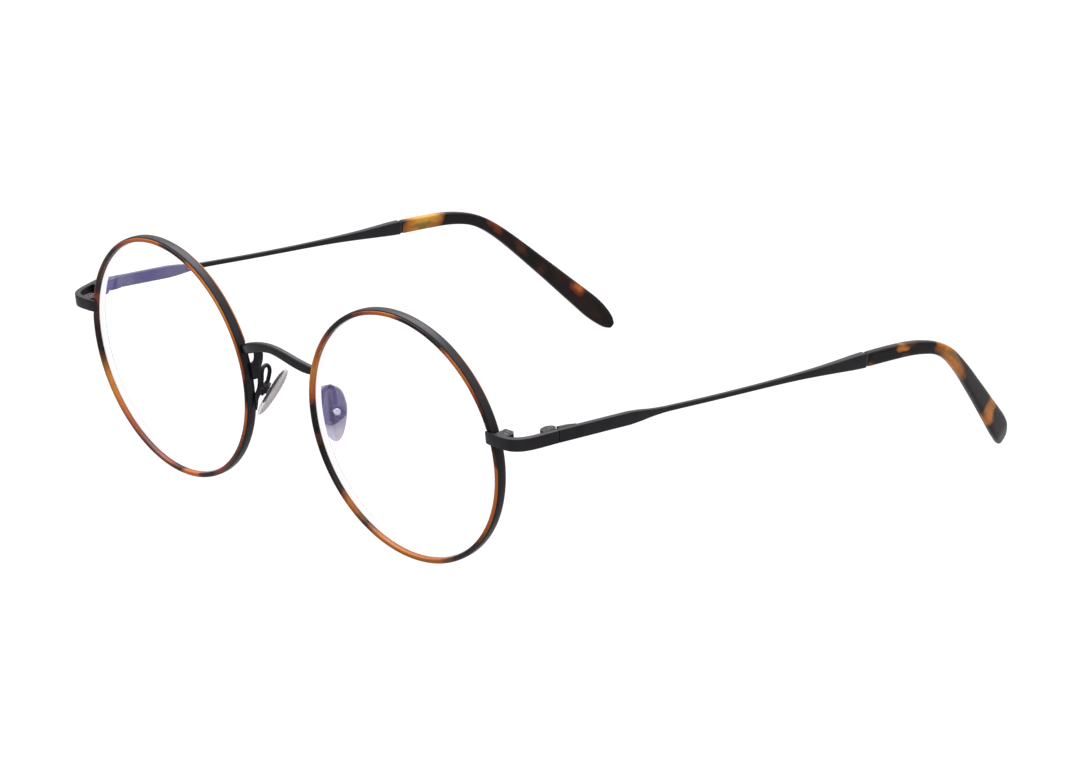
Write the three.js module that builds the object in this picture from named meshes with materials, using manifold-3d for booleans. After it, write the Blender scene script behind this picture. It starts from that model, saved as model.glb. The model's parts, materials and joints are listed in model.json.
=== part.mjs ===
// Round wire eyeglasses: metal rims with an acetate inner ring, a saddle bridge,
// filigree pad brackets, three-barrel hinges and drop-end acetate temple tips.
//
// The pieces are laid out in the front's own frame, in millimetres: +X towards the wearer's
// left, +Y back towards the ears, +Z up in the plane of the lenses, origin midway between the
// lens centres. The whole frame is then tilted and set down so that the rims and the temple
// ends stand on z = 0, with the origin at the bottom centre of its box.
// Each paired piece is built for the wearer's left and mirrored for the right.
import * as THREE from 'three';
import { mergeVertices } from 'three/addons/utils/BufferGeometryUtils.js';
import Module from 'manifold-3d';

const wasm = await Module();
wasm.setup();

// ---------- driving dimensions (mm, degrees) ----------
const LENS_CENTRES = 69.78;      // distance between the lens centres
const FACE_FORM = 2.0;           // each lens plane turned back towards its temple
const RING_STEPS = 60;           // segments round the rims and lenses
const POST_STEPS = 20;           // segments round pins, bores and studs

const BAND_R_OUT = 25.6;         // metal eyewire
const BAND_R_IN = 24.97;
const BAND_FRONT = -1.2;
const BAND_BACK = 0.7;
const RIM_SPLIT_Z = 5.72;        // height of the eyewire's split at the closing blocks
const RIM_SPLIT_GAP = 0.26;

const INSERT_R_OUT = 24.92;      // acetate ring inside the eyewire
const INSERT_R_IN = 24.5;
const INSERT_FRONT = -1.5;
const INSERT_BACK = 1.25;
const GROOVE_R = 24.8;
const BEVEL_Y = 0.2;             // plane of the lens bevel's apex and the groove's bottom

const LENS_R = 24.7;             // bevel apex
const LENS_EDGE_R = 24.4;
const LENS_EDGE_Y = -0.5;        // front surface at the edge
const LENS_BASE_R = 132;         // surface radius
const LENS_THICK = 1.5;

const STRIP_H = 2.5;             // height of the endpiece strip and of the temple blade
const STRIP_CHAMFER = 0.14;
const JOINT_Y = 7.7;             // where the endpiece ends and the temple starts
const JOINT_LEAN = 0.12;         // slope of the two end faces that meet there
const TEMPLE_DROP = -0.158;      // slope of the temple below the lens normal

const PIN_R = 0.38;
const PIN_BORE_R = 0.43;
const OVERCUT = 1;               // how far cutting tools stand out of the piece

// ---------- materials ----------
const standard = (settings) => new THREE.MeshStandardMaterial(settings);
const blackMetal = () => standard({ color: 0x2b2b2f, roughness: 0.48, metalness: 0.7 });
const brightMetal = () => standard({ color: 0x8d8d92, roughness: 0.3, metalness: 0.95 });
const tortoise = () => standard({ color: 0x6b3a1c, roughness: 0.22, metalness: 0 });
const softPad = () => standard({ color: 0xc9c4c2, roughness: 0.35, metalness: 0 });
const clearLens = () => standard({
  color: 0xdfe3f2, roughness: 0.04, metalness: 0, transparent: true, opacity: 0.25,
});

// ---------- mesh helpers ----------
const vec = (x, y, z) => new THREE.Vector3(x, y, z);
const flatPoints = (rows) => rows.map(([x, y]) => new THREE.Vector2(x, y));

function signedVolume(geometry) {
  const { index, attributes: { position } } = geometry;
  const corners = [vec(), vec(), vec()];
  let volume = 0;
  for (let k = 0; k < index.count; k += 3) {
    corners.forEach((corner, j) => corner.fromBufferAttribute(position, index.getX(k + j)));
    volume += corners[0].dot(corners[1].cross(corners[2])) / 6;
  }
  return volume;
}

function facesOut(geometry) {
  if (signedVolume(geometry) < 0) {
    const { index } = geometry;
    for (let k = 0; k < index.count; k += 3) {
      const first = index.getX(k);
      index.setX(k, index.getX(k + 1));
      index.setX(k + 1, first);
    }
  }
  return geometry;
}

function indexedGeometry(coordinates, indices) {
  const geometry = new THREE.BufferGeometry();
  geometry.setAttribute('position', new THREE.Float32BufferAttribute(coordinates, 3));
  geometry.setIndex(indices);
  return geometry;
}

// a copy with positions only, shared vertices merged, faces pointing out
function clean(geometry) {
  const source = geometry.index ? geometry.toNonIndexed() : geometry;
  const bare = new THREE.BufferGeometry();
  bare.setAttribute('position', source.attributes.position.clone());
  return facesOut(mergeVertices(bare, 1e-5));
}

function toManifold(geometry) {
  const { index, attributes: { position } } = clean(geometry);
  return new wasm.Manifold(new wasm.Mesh({
    numProp: 3,
    vertProperties: new Float32Array(position.array),
    triVerts: new Uint32Array(index.array),
  }));
}

function fromManifold(solid) {
  const mesh = solid.getMesh();
  const geometry = indexedGeometry(mesh.vertProperties, Array.from(mesh.triVerts));
  return facesOut(mergeVertices(geometry, 1e-5));
}

const join = (...parts) =>
  fromManifold(parts.map(toManifold).reduce((sum, part) => sum.add(part)));
const cut = (body, ...tools) =>
  fromManifold(tools.map(toManifold).reduce((rest, tool) => rest.subtract(tool), toManifold(body)));

// ---------- shape helpers ----------
// a closed skin over a row of closed sections, all with the same number of points
function loft(sections) {
  const size = sections[0].length;
  const last = (sections.length - 1) * size;
  const indices = [];
  for (let start = 0; start < last; start += size) {
    for (let j = 0; j < size; j++) {
      const next = (j + 1) % size;
      const here = start + j;
      const across = start + size + next;
      indices.push(here, start + next, across, here, across, start + size + j);
    }
  }
  for (let j = 1; j < size - 1; j++) {
    indices.push(0, j + 1, j);
    indices.push(last, last + j, last + j + 1);
  }
  return facesOut(indexedGeometry(sections.flat().flatMap(({ x, y, z }) => [x, y, z]), indices));
}

const chamferedRect = (width, height, chamfer) => {
  const x = width / 2;
  const y = height / 2;
  return [
    [x, -y + chamfer], [x, y - chamfer], [x - chamfer, y], [-x + chamfer, y],
    [-x, y - chamfer], [-x, -y + chamfer], [-x + chamfer, -y], [x - chamfer, -y],
  ];
};

// exponent 1 gives an ellipse, smaller ones come closer to a rectangle
const superEllipse = (width, height, steps, exponent) => Array.from({ length: steps }, (_, k) => {
  const angle = ((k + 0.5) * 2 * Math.PI) / steps;
  const bend = (value) => Math.sign(value) * Math.abs(value) ** exponent;
  return [(width / 2) * bend(Math.cos(angle)), (height / 2) * bend(Math.sin(angle))];
});

// a 2-D section set at a point, square to a direction; its first axis stays close to `side`
function place(section, point, direction, side = vec(1, 0, 0)) {
  const normal = direction.clone().normalize();
  const first = side.clone().addScaledVector(normal, -side.dot(normal)).normalize();
  const second = vec().crossVectors(first, normal).normalize();
  return section.map(([x, y]) =>
    point.clone().addScaledVector(first, x).addScaledVector(second, y));
}

// a section swept along a smooth curve; sectionAt gives it for a point of the curve
function sweep(points, steps, sectionAt, side) {
  const curve = new THREE.CatmullRomCurve3(points);
  return loft(Array.from({ length: steps + 1 }, (_, k) => {
    const point = curve.getPointAt(k / steps);
    return place(sectionAt(point), point, curve.getTangentAt(k / steps), side);
  }));
}

// the direction of a row of points at each of them
const directions = (points) => points.map((_, k) => {
  const next = points[Math.min(k + 1, points.length - 1)];
  return vec().subVectors(next, points[Math.max(k - 1, 0)]).normalize();
});

// an outline stacked along z; layers are [z, scale], scaled about (0, centreY)
const stack = (outline, layers, centreY = 0) => loft(layers.map(([z, scale]) =>
  outline.map(([x, y]) => vec(x * scale, (y - centreY) * scale + centreY, z))));

// [radius, y] points turned about the Y axis
const revolve = (profile, steps = RING_STEPS) =>
  new THREE.LatheGeometry(flatPoints(profile), steps);

const boxAt = (x0, x1, y0, y1, z0, z1) => new THREE.BoxGeometry(x1 - x0, y1 - y0, z1 - z0)
  .translate((x0 + x1) / 2, (y0 + y1) / 2, (z0 + z1) / 2);

// a vertical cylinder
const post = (radius, x, y, z0, z1) =>
  new THREE.CylinderGeometry(radius, radius, z1 - z0, POST_STEPS)
    .rotateX(Math.PI / 2)
    .translate(x, y, (z0 + z1) / 2);

// an x, y outline raised from z0 to z1
const prism = (outline, z0, z1) =>
  new THREE.ExtrudeGeometry(new THREE.Shape(flatPoints(outline)), {
    depth: z1 - z0, bevelEnabled: false,
  }).translate(0, 0, z0);

// a vertical screw; shank and head are [bottom, top]
function slottedScrew({ x, y, shank, head, headRadius, slotDepth }) {
  const slotHalf = 0.09;
  const slotReach = 1;
  const [, top] = head;
  const slot = boxAt(x - slotReach, x + slotReach, y - slotHalf, y + slotHalf,
    top - slotDepth, top + OVERCUT);
  return cut(join(post(PIN_R, x, y, ...shank), post(headRadius, x, y, ...head)), slot);
}

// from a lens's own axes to the front's: turned by the face form about its centre
const onLens = (geometry) =>
  geometry.rotateZ(THREE.MathUtils.degToRad(FACE_FORM)).translate(LENS_CENTRES / 2, 0, 0);

// ---------- eyewires: metal bands, split at the closing blocks ----------
function rimBand() {
  const chamfer = 0.16;          // on the outer edges
  const angleMargin = 0.01;      // keeps the regular steps clear of the split's ends
  const splitAngle = Math.asin(RIM_SPLIT_Z / BAND_R_OUT);
  const halfGap = RIM_SPLIT_GAP / 2 / BAND_R_OUT;
  const start = splitAngle + halfGap;
  const end = splitAngle - halfGap + 2 * Math.PI;
  const angles = [start];
  // the steps are counted over two turns, as the band runs past a full turn from angle 0
  for (let k = 0; k < 2 * RING_STEPS; k++) {
    const angle = (k * 2 * Math.PI) / RING_STEPS;
    if (angle > start + angleMargin && angle < end - angleMargin) angles.push(angle);
  }
  angles.push(end);
  const profile = [             // radius, y
    [BAND_R_IN, BAND_FRONT], [BAND_R_OUT - chamfer, BAND_FRONT],
    [BAND_R_OUT, BAND_FRONT + chamfer], [BAND_R_OUT, BAND_BACK - chamfer],
    [BAND_R_OUT - chamfer, BAND_BACK], [BAND_R_IN, BAND_BACK],
  ];
  return onLens(loft(angles.map((angle) => profile.map(([radius, y]) =>
    vec(radius * Math.cos(angle), y, radius * Math.sin(angle))))));
}

// ---------- acetate rings inside the eyewires, with the lens groove ----------
function rimInsert() {
  const lipGap = 0.05;           // between each lip and the band
  const frontLipY = BAND_FRONT - lipGap;
  const backLipY = BAND_BACK + lipGap;
  const profile = [             // radius, y
    [INSERT_R_IN + 0.12, INSERT_FRONT], [25.15, INSERT_FRONT],
    [25.32, INSERT_FRONT + 0.12], [25.32, frontLipY],
    [INSERT_R_OUT, frontLipY], [INSERT_R_OUT, backLipY],
    [25.1, backLipY], [25.0, INSERT_BACK], [INSERT_R_IN, INSERT_BACK],
    [INSERT_R_IN, 0.88], [GROOVE_R, BEVEL_Y], [INSERT_R_IN, -0.44],
    [INSERT_R_IN, INSERT_FRONT + 0.16],
  ];
  const ring = revolve([...profile, profile[0]]);
  // the back lip is relieved where the pad bracket stands against the eyewire,
  // and the front lip where the endpiece lies over it
  const bracketRelief = boxAt(7, 13, BAND_BACK - 0.75, 2, -5.3, 8.4);
  const endpieceSeat = boxAt(57.5, 61.5, -3, -0.36, 4.5, 7.2);
  return cut(onLens(ring), bracketRelief, endpieceSeat);
}

// ---------- lenses: a shallow meniscus with a bevelled edge ----------
function lens() {
  const sag = (radius) => LENS_BASE_R - Math.sqrt(LENS_BASE_R * LENS_BASE_R - radius * radius);
  const vertexY = LENS_EDGE_Y - sag(LENS_EDGE_R);
  const radii = [0, 12, LENS_EDGE_R];
  const front = radii.map((radius) => [radius, vertexY + sag(radius)]);
  const back = front.map(([radius, y]) => [radius, y + LENS_THICK]).reverse();
  return onLens(revolve([...front, [LENS_R, BEVEL_Y], ...back]));
}

// ---------- bridge: a saddle arch that stands forward of the rims ----------
function bridge() {
  const flank = [               // x, y, z from the left rim towards the middle
    [10.12, -0.75, 7.84], [9.3, -1.25, 8.12], [8.2, -1.68, 8.54],
    [6.6, -2.12, 9.16], [4.4, -2.4, 9.88], [2.2, -2.5, 10.38],
  ];
  const crown = [0, -2.52, 10.58];
  const otherFlank = flank.map(([x, y, z]) => [-x, y, z]).reverse();
  const path = [...flank, crown, ...otherFlank].map((row) => vec(...row));
  // back, up; the top edges are bevelled more than the lower ones
  const section = [
    [0.72, -0.62], [0.72, 0.35], [0.34, 0.82], [-0.34, 0.82],
    [-0.72, 0.35], [-0.72, -0.62], [-0.45, -0.85], [0.45, -0.85],
  ];
  // the strip is a little higher on each flank of the arch
  const sectionAt = (point) => {
    const distance = Math.abs(point.x);
    const rise = Math.min(1, distance / 6.2);
    const fade = Math.min(1, Math.max(0.15, (10.3 - distance) / 2));
    return section.map(([back, up]) => [back, up * (1 + 0.24 * rise * fade)]);
  };
  return sweep(path, 26, sectionAt, vec(0, 1, 0));
}

// ---------- pad brackets: a filigree plate that runs back from the eyewire ----------
// outline in side view (y, z); the two notches are open towards the eyewire
const BRACKET_OUTLINE = [
  [-0.3, 7.1], [-0.3, 7.7], [0.4, 7.95], [1.2, 7.65], [1.65, 7.15], [1.95, 6.5],
  [2.02, 6.0], [1.85, 4.9], [1.5, 4.05], [1.25, 3.4], [1.08, 2.6], [1.0, 1.6],
  [0.97, 0.67], [0.66, -0.5], [0.6, -1.0], [1.35, -1.05], [1.25, -1.35], [0.86, -1.9],
  [0.2, -2.5], [-0.18, -3.2], [-0.38, -4.2], [-0.6, -4.9], [-0.8, -5.3], [-0.8, -2.15],
  [-0.3, -1.5], [0.08, -0.9], [0.32, -0.2], [0.46, 0.7], [0.46, 1.12], [0.2, 1.28],
  [-0.8, 1.3], [-0.8, 4.9], [-0.55, 4.87], [-0.1, 5.05], [0.14, 5.4], [0.26, 6.2],
  [0.26, 6.9], [-0.1, 7.05],
];
function padBracket() {
  const thickness = 0.6;
  const frontX = 8.85;           // nose-side face at the plate's front edge
  const frontY = -0.8;
  const inwardSlope = 0.2;       // towards the nose as it runs back
  const plate = prism(BRACKET_OUTLINE, 0, thickness);
  plate.applyMatrix4(new THREE.Matrix4().makeBasis(vec(0, 1, 0), vec(0, 0, 1), vec(1, 0, 0)));
  const { position } = plate.attributes;
  for (let k = 0; k < position.count; k++) {
    const shift = frontX - inwardSlope * (position.getY(k) - frontY);
    position.setX(k, position.getX(k) + shift);
  }
  // the face away from the nose follows the eyewire
  const drumR = BAND_R_OUT + 0.06;
  return cut(plate, onLens(revolve([[0, -4], [drumR, -4], [drumR, 5], [0, 5]])));
}

// ---------- nose pads ----------
// pad axes: x = side (back and away from the nose), y = up along the pad,
// z = out (away from the nose), from the middle of the pad
const PAD_CENTRE = vec(9.0, 3.9, -2.9);
const PAD_NOSE_FACE = -0.95;     // the bulging face and the flat back, along z
const PAD_BACK_FACE = 0.3;
const STUD_SIDE = 0.38;          // where the stud stands on the pad
const STUD_UP = -0.6;

const padUp = vec(-0.448, 0.352, 0.822).normalize();
const padSide = vec(0.507, 0.858, -0.091);
padSide.addScaledVector(padUp, -padSide.dot(padUp)).normalize();
const padFrame = new THREE.Matrix4()
  .makeBasis(padSide, padUp, vec().crossVectors(padSide, padUp))
  .setPosition(PAD_CENTRE);

// [radius, z] points turned about the stud's axis
const aboutStud = (profile) => revolve(profile, POST_STEPS)
  .rotateX(Math.PI / 2)
  .translate(STUD_SIDE, STUD_UP, 0);

// a bent wire from the bracket to the pad box
function padArm() {
  const wireSize = 0.84;
  const end = vec(STUD_SIDE - 0.05, STUD_UP + 1.66, 2.05).applyMatrix4(padFrame);
  const path = [
    vec(9.0, 1.1, -0.85), vec(9.0, 1.18, -0.3), vec(9.05, 1.5, 0.8), vec(9.2, 1.84, 2.01),
    vec(9.4, 2.5, 2.76), vec(9.55, 3.47, 2.84), vec(9.65, 4.1, 2.11), vec(9.72, 4.14, 1.1), end,
  ];
  return sweep(path, 22, () => superEllipse(wireSize, wireSize, 8, 1));
}

// the box round the stud: wider than high, with a round bore
function padBox() {
  const shell = stack(superEllipse(3.2, 2.8, 24, 0.72),
    [[1.3, 0.94], [1.4, 1], [2.45, 1], [2.55, 0.94]]).translate(STUD_SIDE, STUD_UP, 0);
  const bore = aboutStud([[0, 1], [0.95, 1], [0.95, 3], [0, 3]]);
  return cut(shell, bore).applyMatrix4(padFrame);
}

// the plate behind the pad's flat back (side, up)
const CORE_OUTLINE = [
  [2.55, -0.75], [2.7, 0.7], [2.62, 2.0], [2.38, 3.2], [1.94, 4.12], [1.32, 4.72],
  [0.64, 5.02], [-0.1, 5.18], [-0.92, 5.2], [-1.55, 5.02], [-2.04, 4.6], [-2.42, 3.85],
  [-2.64, 2.65], [-2.7, 1.3], [-2.64, -0.2], [-2.44, -1.4], [-1.95, -2.35], [-1.2, -2.8],
  [-0.4, -2.75], [0.5, -2.36], [1.3, -1.85], [2.05, -1.35],
];
// the plate with its stud
function padCore() {
  const centreY = 1.2;
  const plate = stack(CORE_OUTLINE, [[0.36, 0.96], [0.44, 1], [0.62, 1], [0.7, 0.96]], centreY);
  const stud = aboutStud([
    [0, 0.5], [0.9, 0.5], [0.9, 0.9], [0.72, 1.05], [0.72, 2.5], [0.6, 2.62], [0, 2.62],
  ]);
  return join(plate, stud).applyMatrix4(padFrame);
}

// the pad's soft D outline (side, up)
const PAD_OUTLINE = [
  [2.9, 0.7], [2.83, 2.0], [2.58, 3.3], [2.13, 4.35], [1.45, 5.02], [0.7, 5.36],
  [-0.1, 5.54], [-0.95, 5.58], [-1.65, 5.4], [-2.2, 4.92], [-2.62, 4.1], [-2.85, 2.8],
  [-2.92, 1.3], [-2.83, -0.2], [-2.62, -1.4], [-2.27, -2.6], [-1.87, -3.7], [-1.4, -4.7],
  [-0.8, -5.5], [-0.05, -5.84], [0.7, -5.52], [1.38, -4.7], [1.86, -3.65], [2.3, -2.3],
  [2.7, -0.7],
];
// fraction of the thickness from the nose face, scale of the outline
const PAD_BULGE = [
  [0, 0.22], [0.04, 0.48], [0.14, 0.7], [0.32, 0.86], [0.56, 0.96], [0.8, 1], [0.94, 1], [1, 0.95],
];
function nosePad() {
  const layers = PAD_BULGE.map(([depth, scale]) =>
    [PAD_NOSE_FACE + (PAD_BACK_FACE - PAD_NOSE_FACE) * depth, scale]);
  return stack(PAD_OUTLINE, layers).applyMatrix4(padFrame);
}

// ---------- endpieces: a strip from the rim's front, round the corner to the hinge ----------
const ENDPIECE_PLAN = [          // outer x, y, then inner x, y
  [58.2, -0.85, 58.2, -0.44], [58.9, -1.03, 58.9, -0.48], [60.3, -1.2, 60.3, -0.62],
  [60.62, -1.2, 60.62, -0.05], [63.0, -1.2, 63.0, -0.05], [64.3, -1.02, 63.85, 0.08],
  [65.5, -0.52, 64.75, 0.45], [66.55, 0.4, 65.55, 1.15], [67.35, 1.7, 66.2, 2.15],
  [67.95, 3.3, 66.75, 3.5], [68.5, 5.4, 67.3, 5.5],
  [69.08, JOINT_Y - 0.05, 67.88, JOINT_Y - 0.05],
];
function endpiece() {
  const chamfer = STRIP_CHAMFER;
  return loft(ENDPIECE_PLAN.map(([outerX, outerY, innerX, innerY], k) => {
    const outer = vec(outerX, outerY, 0);
    const inner = vec(innerX, innerY, 0);
    const outward = vec().subVectors(outer, inner).normalize();
    const middle = 5.85 - 0.028 * Math.max(0, outerY + 1.15);   // sinks as it runs back
    const bottom = middle - STRIP_H / 2;
    const top = bottom + STRIP_H;
    const lean = k === ENDPIECE_PLAN.length - 1 ? JOINT_LEAN : 0;
    const corner = (edge, z, offset) => vec(
      edge.x + outward.x * offset, edge.y + outward.y * offset + lean * (z - middle), z);
    return [
      corner(outer, bottom + chamfer, 0), corner(outer, top - chamfer, 0),
      corner(outer, top, -chamfer), corner(inner, top, chamfer),
      corner(inner, top - chamfer, 0), corner(inner, bottom + chamfer, 0),
      corner(inner, bottom, chamfer), corner(outer, bottom, -chamfer),
    ];
  }));
}

// ---------- closing blocks: they clamp the split eyewire, with a screw through both ----------
const BLOCK = { x0: 60.42, x1: 63.35, y0: 0, y1: 2.35 };
const BLOCK_TOP = RIM_SPLIT_Z + 1.28;
const BLOCK_BOTTOM = RIM_SPLIT_Z - 1.28;
const RIM_SCREW_X = 61.95;
const RIM_SCREW_Y = 1.2;

function closingBlock(z0, z1) {
  const { x0, x1, y0, y1 } = BLOCK;
  const frontChamfer = 0.35;
  const backChamfer = 0.8;
  return prism([
    [x0, y0], [x1 - frontChamfer, y0], [x1, y0 + frontChamfer],
    [x1, y1 - backChamfer], [x1 - backChamfer, y1], [x0, y1],
  ], z0, z1);
}
const rimScrewHole = (radius, z0, z1) => post(radius, RIM_SCREW_X, RIM_SCREW_Y, z0, z1);

// its bore is widened at the top for the screw's head
const upperBlock = () => cut(
  closingBlock(RIM_SPLIT_Z + RIM_SPLIT_GAP / 2, BLOCK_TOP),
  rimScrewHole(PIN_BORE_R, RIM_SPLIT_Z - 0.5, BLOCK_TOP + OVERCUT),
  rimScrewHole(0.74, BLOCK_TOP - 0.42, BLOCK_TOP + OVERCUT));

const lowerBlock = () => cut(
  closingBlock(BLOCK_BOTTOM, RIM_SPLIT_Z - RIM_SPLIT_GAP / 2),
  rimScrewHole(PIN_BORE_R, BLOCK_BOTTOM - OVERCUT, RIM_SPLIT_Z + 0.5));

const rimScrew = () => slottedScrew({
  x: RIM_SCREW_X,
  y: RIM_SCREW_Y,
  shank: [BLOCK_BOTTOM + 0.1, BLOCK_TOP - 0.2],
  head: [BLOCK_TOP - 0.36, BLOCK_TOP + 0.02],
  headRadius: 0.66,
  slotDepth: 0.17,
});

// ---------- hinges: two barrels on the front leaf, one on the temple leaf ----------
const HINGE_X = 66.72;           // screw axis
const HINGE_Y = JOINT_Y;
const HINGE_Z = 5.6;             // middle
const HINGE_BOTTOM = HINGE_Z - 1.25;
const HINGE_TOP = HINGE_Z + 1.25;
const BARREL_R = 1.05;
const END_BARREL_H = 0.82;       // up to the middle of the gap between barrels
const BARREL_CLEARANCE = 0.03;   // each barrel's share of that gap
const LOWER_GAP_Z = HINGE_BOTTOM + END_BARREL_H;
const UPPER_GAP_Z = HINGE_TOP - END_BARREL_H;

const hingePost = (radius, z0, z1) => post(radius, HINGE_X, HINGE_Y, z0, z1);
const hingeBore = () => hingePost(PIN_BORE_R, HINGE_BOTTOM - OVERCUT, HINGE_TOP + OVERCUT);

// fixed on the inside of the endpiece
function hingeFrontLeaf() {
  const leafPlan = [[65.72, 6.1], [66.05, 5.72], [67.27, 5.6], [67.45, 6.35], [65.72, 6.35]];
  const webPlan = [
    [65.72, 6.1], [66.0, 5.9], [67.3, 5.9], [67.62, 7.0], [67.7, 7.55],
    [66.9, 8.2], [65.66, 7.95], [65.5, 7.7], [65.48, 6.6],
  ];
  const barrels = [
    [HINGE_BOTTOM, LOWER_GAP_Z - BARREL_CLEARANCE],
    [UPPER_GAP_Z + BARREL_CLEARANCE, HINGE_TOP],
  ].flatMap(([z0, z1]) => [prism(webPlan, z0, z1), hingePost(BARREL_R, z0, z1)]);
  const headSeat = hingePost(0.72, HINGE_TOP - 0.4, HINGE_TOP + OVERCUT);
  return cut(join(prism(leafPlan, HINGE_BOTTOM, HINGE_TOP), ...barrels), hingeBore(), headSeat);
}

// fixed on the inside of the blade
function hingeTempleLeaf() {
  const outerX = 67.84;
  const innerEdge = [[9.05, 66.95], [9.6, 66.9], [11.6, 67.1], [13.4, 67.8]];   // y, x
  const leaf = loft(innerEdge.map(([y, innerX]) => {
    const drop = TEMPLE_DROP * (y - JOINT_Y);
    const z0 = HINGE_BOTTOM + 0.1 + drop;
    const z1 = HINGE_TOP + 0.02 + drop;
    return [vec(innerX, y, z0), vec(outerX, y, z0), vec(outerX, y, z1), vec(innerX, y, z1)];
  }));
  const webPlan = [[66.5, 8.0], [67.6, 7.95], [outerX, 8.3], [outerX, 9.5], [66.98, 9.5]];
  const z0 = LOWER_GAP_Z + BARREL_CLEARANCE;
  const z1 = UPPER_GAP_Z - BARREL_CLEARANCE;
  return cut(join(leaf, prism(webPlan, z0, z1), hingePost(BARREL_R, z0, z1)), hingeBore());
}

const hingeScrew = () => slottedScrew({
  x: HINGE_X,
  y: HINGE_Y,
  shank: [HINGE_BOTTOM + 0.08, HINGE_TOP - 0.2],
  head: [HINGE_TOP - 0.34, HINGE_TOP + 0.03],
  headRadius: 0.64,
  slotDepth: 0.16,
});

// ---------- temples: flat blade, slim waist, flared collar, then the core wire ----------
// rows: x, y, z of the centre, then width and height
const BLADE = [
  [68.5, 7.78, 5.6, 1.2, STRIP_H], [68.58, 26.2, 2.68, 1.2, STRIP_H],
  [68.62, 29.2, 2.2, 1.15, 2.1], [68.64, 31.2, 1.87, 1.05, 1.68],
  [68.66, 33.6, 1.48, 0.98, 1.28], [68.68, 36.4, 1.02, 0.95, 1.05],
  [68.74, 47.2, -0.86, 0.95, 0.98], [68.82, 60.3, -3.0, 0.95, 1.05],
  [68.88, 68.0, -4.2, 1.02, 1.22], [68.92, 73.5, -5.07, 1.14, 1.46],
  [68.96, 79.5, -6.04, 1.34, 1.9], [69.0, 85.0, -6.9, 1.56, 2.46],
  [69.03, 89.5, -7.58, 1.76, 2.92], [69.03, 91.6, -7.9, 1.82, 3.04],
  [69.03, 92.3, -8.01, 1.5, 2.5],
];
const TIP = [
  [69.03, 92.44, -8.03, 1.7, 2.76], [69.03, 93.1, -8.13, 1.84, 2.96],
  [69.03, 97.0, -8.7, 1.9, 2.98], [69.03, 101.0, -9.34, 1.94, 2.96],
  [69.03, 104.6, -9.98, 1.96, 2.9], [69.03, 107.6, -10.68, 1.98, 2.82],
  [69.02, 110.2, -11.47, 1.98, 2.72], [68.92, 112.8, -12.44, 1.98, 2.66],
  [68.68, 115.6, -13.92, 1.98, 2.68], [68.25, 118.6, -16.14, 1.98, 2.78],
  [67.4, 121.9, -19.3, 1.98, 2.98], [66.4, 125.5, -23.2, 2.0, 3.3],
  [65.28, 129.0, -27.2, 2.0, 3.66], [64.15, 132.5, -31.2, 2.0, 4.05],
  [63.0, 136.0, -35.3, 2.0, 4.5], [61.85, 139.5, -39.35, 1.98, 4.95],
  [61.2, 141.4, -41.6, 1.94, 5.15], [60.66, 142.8, -43.3, 1.86, 4.95],
  [59.85, 144.1, -45.1, 1.7, 4.25], [59.15, 145.0, -46.5, 1.45, 3.2],
  [58.65, 145.55, -47.4, 1.0, 1.7],
];
const CORE_END_ROW = 14;         // the core wire stops before this row of the tip
const centres = (rows) => rows.map(([x, y, z]) => vec(x, y, z));

function temple() {
  const bladePoints = centres(BLADE);
  const bladeDirections = directions(bladePoints);
  const sections = BLADE.map(([, , , width, height], k) => {
    const chamfer = k < 2 ? STRIP_CHAMFER : Math.min(0.3, 0.22 * width);
    const direction = k === 0 ? vec(0, 1, -JOINT_LEAN) : bladeDirections[k];
    return place(chamferedRect(width, height, chamfer), bladePoints[k], direction);
  });
  // the core wire steps down from the collar and runs down the middle of the tip
  const wireSection = chamferedRect(1.0, 1.0, 0.25);
  const endDirection = bladeDirections.at(-1);
  const wireStart = bladePoints.at(-1).clone().addScaledVector(endDirection, 0.02);
  sections.push(place(wireSection, wireStart, endDirection));
  const wirePoints = centres(TIP.slice(1, CORE_END_ROW));
  const wireDirections = directions(wirePoints);
  wirePoints.forEach((point, k) => sections.push(place(wireSection, point, wireDirections[k])));
  return loft(sections);
}

// acetate tip with a blind bore for the core wire
function templeTip() {
  const tipPoints = centres(TIP);
  const tipDirections = directions(tipPoints);
  const body = loft(TIP.map(([, , , width, height], k) =>
    place(superEllipse(width, height, 16, 0.6), tipPoints[k], tipDirections[k])));
  // the bore starts ahead of the tip and ends a little beyond the wire
  const borePoints = centres(TIP.slice(1, CORE_END_ROW + 1));
  const ahead = vec().subVectors(borePoints[0], borePoints[1]).normalize();
  borePoints.unshift(borePoints[0].clone().addScaledVector(ahead, 1.6));
  borePoints.at(-1).lerp(borePoints.at(-2), 0.75);
  const boreDirections = directions(borePoints);
  const bore = loft(borePoints.map((point, k) =>
    place(chamferedRect(1.24, 1.24, 0.3), point, boreDirections[k])));
  return cut(body, bore);
}

// ---------- the frame ----------
const glasses = new THREE.Group();

function add(name, geometry, material) {
  const mesh = new THREE.Mesh(clean(geometry), material());
  mesh.name = name;
  glasses.add(mesh);
}
function pair(name, geometry, material) {
  add(`${name}_left`, geometry, material);
  add(`${name}_right`, clean(geometry).scale(-1, 1, 1), material);
}

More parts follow.
